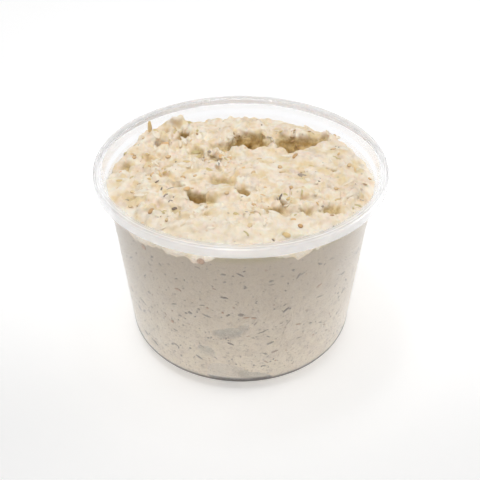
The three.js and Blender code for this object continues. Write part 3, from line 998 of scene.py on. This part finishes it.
# %% Specks pressed against the wall
WALL_SPECKS = (
    # direction in degrees, height, length, width, thickness, turn, bend, tint
    (-90.0, 43.5, 2.2, 1.6, 0.3, 0, 0.0, 0.3), (-87.6, 42.0, 2.6, 1.0, 0.3, 10, 0.0, 0.95),
    (-84.5, 41.6, 2.2, 1.0, 0.3, -10, 0.0, 0.95), (-112.5, 41.0, 1.8, 1.5, 0.3, 0, 0.0, 0.35),
    (-114.5, 40.2, 1.2, 0.9, 0.3, 0, 0.0, 0.3), (-122.5, 32.5, 1.8, 1.6, 0.3, 70, 0.0, 0.9),
    (-80.5, 33.5, 4.6, 0.5, 0.3, 25, 0.1, 0.4), (-76.5, 26.5, 3.2, 0.9, 0.3, 20, 0.1, 0.4),
    (-135.0, 42.0, 1.8, 1.0, 0.3, 0, 0.0, 0.5), (-66.0, 60.0, 3.0, 1.0, 0.3, 60, 0.1, 0.4),
    (-78.0, 60.0, 1.6, 1.0, 0.3, 20, 0.0, 0.3), (-97.0, 64.0, 2.0, 1.0, 0.3, 0, 0.0, 0.5),
    (-105.6, 69.2, 3.4, 2.8, 0.5, 30, 0.0, 0.9), (-133.0, 66.2, 2.6, 2.4, 0.5, 0, 0.0, 0.95),
)
WALL_SPECK_COUNT = 680
SPECK_LENGTHS = (0.45, 0.5, 0.6, 0.7, 0.8, 0.9, 1.2, 1.9, 3.0)
wall_chance = random.Random(53)
wall_rows = list(WALL_SPECKS)
for _ in range(WALL_SPECK_COUNT):
    long = wall_chance.choice(SPECK_LENGTHS) * wall_chance.uniform(0.8, 1.2)
    slim = wall_chance.uniform(0.5, 1.0) if long < 1.3 else wall_chance.uniform(0.12, 0.35)
    wall_rows.append((
        wall_chance.uniform(-180, 180), wall_chance.uniform(9, 66), long, max(0.35, long * slim), 0.25,
        wall_chance.uniform(-50, 60), wall_chance.uniform(-0.2, 0.2), wall_chance.random() ** 1.6,
    ))
SPECK_TINTS = (linear(154, 142, 129), linear(176, 164, 150), linear(206, 172, 144))
wall_speck = bit_finish("pressed_specks", SPECK_TINTS, linear(168, 154, 142), 0.6, 0.4)
bits("wall_specks", [(wall_rows, against_wall, 0.1)], wall_speck)

# %% [markdown]
# ## The stage
# The tub stands on a plain white floor under a broad, soft lamp that hangs almost straight above it,
# so that the top is bright and the wall is in its own soft shade. A card at the right and one in front
# soften that shade, and a white surround fills the shadows. The floor is given a glow of its own, which
# is painted light: dim in front, brighter behind and fading far out, strongest in a ring round the
# tub's foot, where it fills in the tub's shadow, and none right under the tub. So the floor stays
# white right up to the tub.

# %% Floor, lamp and surround
BLACK = (0, 0, 0, 1)
WHITE = (1, 1, 1, 1)
GLOW_FRONT = 0.07
GLOW_BACK = 0.29
GLOW_FAR = 0.40
SHADOW_FILL_GLOW = 0.18


def floor_finish():
    """A white floor with a painted glow of its own near the tub, which grows dim further out."""
    finish = Finish("white_floor")
    place = finish.node("ShaderNodeTexCoord", output="Object")
    back = finish.node("ShaderNodeSeparateXYZ", None, {0: place}, "Y")
    from_axis = finish.node("ShaderNodeVectorMath", {"operation": "LENGTH"}, {0: place}, 1)
    near = 1 - finish.step(from_axis, 0.5, 1.2)
    contact = 1 - finish.step(from_axis, 0.048, 0.075)
    glow = GLOW_FRONT + finish.step(back, -0.09, 0.05) * (GLOW_BACK - GLOW_FRONT)
    glow = (glow + finish.step(back, 0.12, 0.45) * (GLOW_FAR - GLOW_BACK)) * near
    # Painted light: the extra glow in a ring round the tub's foot fills in the tub's shadow there; right
    # under the tub there is no glow.
    glow = (glow + contact * SHADOW_FILL_GLOW) * finish.step(from_axis, 0.0415, 0.0430)
    matt = finish.node(
        "ShaderNodeBsdfPrincipled", None,
        {
            "Base Color": (0.95, 0.95, 0.95, 1), "Roughness": 0.7,
            "Emission Color": finish.blend(glow, BLACK, WHITE), "Emission Strength": 1.0,
        },
    )
    return finish.shows(matt)


def add_floor(half_width):
    shape = bmesh.new()
    bmesh.ops.create_grid(shape, x_segments=1, y_segments=1, size=half_width)
    mesh = bpy.data.meshes.new("floor")
    shape.to_mesh(mesh)
    shape.free()
    mesh.materials.append(floor_finish())
    floor = bpy.data.objects.new("floor", mesh)
    bpy.context.scene.collection.objects.link(floor)


def add_lamp(name, place, aim, size, watts):
    data = bpy.data.lights.new(name, "AREA")
    data.shape = "DISK"
    data.size = size
    data.energy = watts
    lamp = bpy.data.objects.new(name, data)
    lamp.location = place
    lamp.rotation_euler = (Vector(aim) - Vector(place)).to_track_quat("-Z", "Y").to_euler()
    bpy.context.scene.collection.objects.link(lamp)


def add_surround(fill, seen):
    """A white surround that lights surfaces with the strength fill, and looks as bright as seen."""
    world = bpy.data.worlds.new("surround")
    world.use_nodes = True
    nodes = world.node_tree.nodes
    links = world.node_tree.links
    path = nodes.new("ShaderNodeLightPath")
    scattered = nodes.new("ShaderNodeMapRange")
    links.new(path.outputs["Is Diffuse Ray"], scattered.inputs["Value"])
    scattered.inputs["To Min"].default_value = seen
    scattered.inputs["To Max"].default_value = fill
    nodes["Background"].inputs["Color"].default_value = WHITE
    links.new(scattered.outputs["Result"], nodes["Background"].inputs["Strength"])
    bpy.context.scene.world = world


TUB_MIDDLE = (0, 0, 0.04)
add_floor(4.0)
add_lamp("overhead", (-0.06, -0.04, 0.84), TUB_MIDDLE, 0.45, 3.9)
add_lamp("right_card", (0.60, 0.10, 0.20), TUB_MIDDLE, 0.4, 1.0)
add_lamp("front_card", (-0.10, -0.70, 0.25), TUB_MIDDLE, 0.5, 0.8)
add_surround(0.22, 1.0)
print("stage: a floor,", len(bpy.data.lights), "lamps and a surround")

# %% [markdown]
# ## The camera
# The tub is seen from the front and above. The lens, the distance and the tilt come from fitting the
# outlines of the rim, wall and base.

# %% Camera
FRAME_PIXELS = 480
FOCAL_PIXELS = 819
SENSOR_MM = 36
CAMERA_MM = Vector((-0.33, -281.64, 247.79))
TILT_DOWN = math.radians(36.27)


def add_camera():
    data = bpy.data.cameras.new("camera")
    data.sensor_width = SENSOR_MM
    data.lens = SENSOR_MM * FOCAL_PIXELS / FRAME_PIXELS
    data.clip_start = 0.01
    data.clip_end = 50
    camera = bpy.data.objects.new("camera", data)
    camera.location = CAMERA_MM * MM
    camera.rotation_euler = (math.pi / 2 - TILT_DOWN, 0, 0)
    bpy.context.scene.collection.objects.link(camera)
    bpy.context.scene.camera = camera


add_camera()
bpy.context.scene.view_settings.view_transform = "Standard"
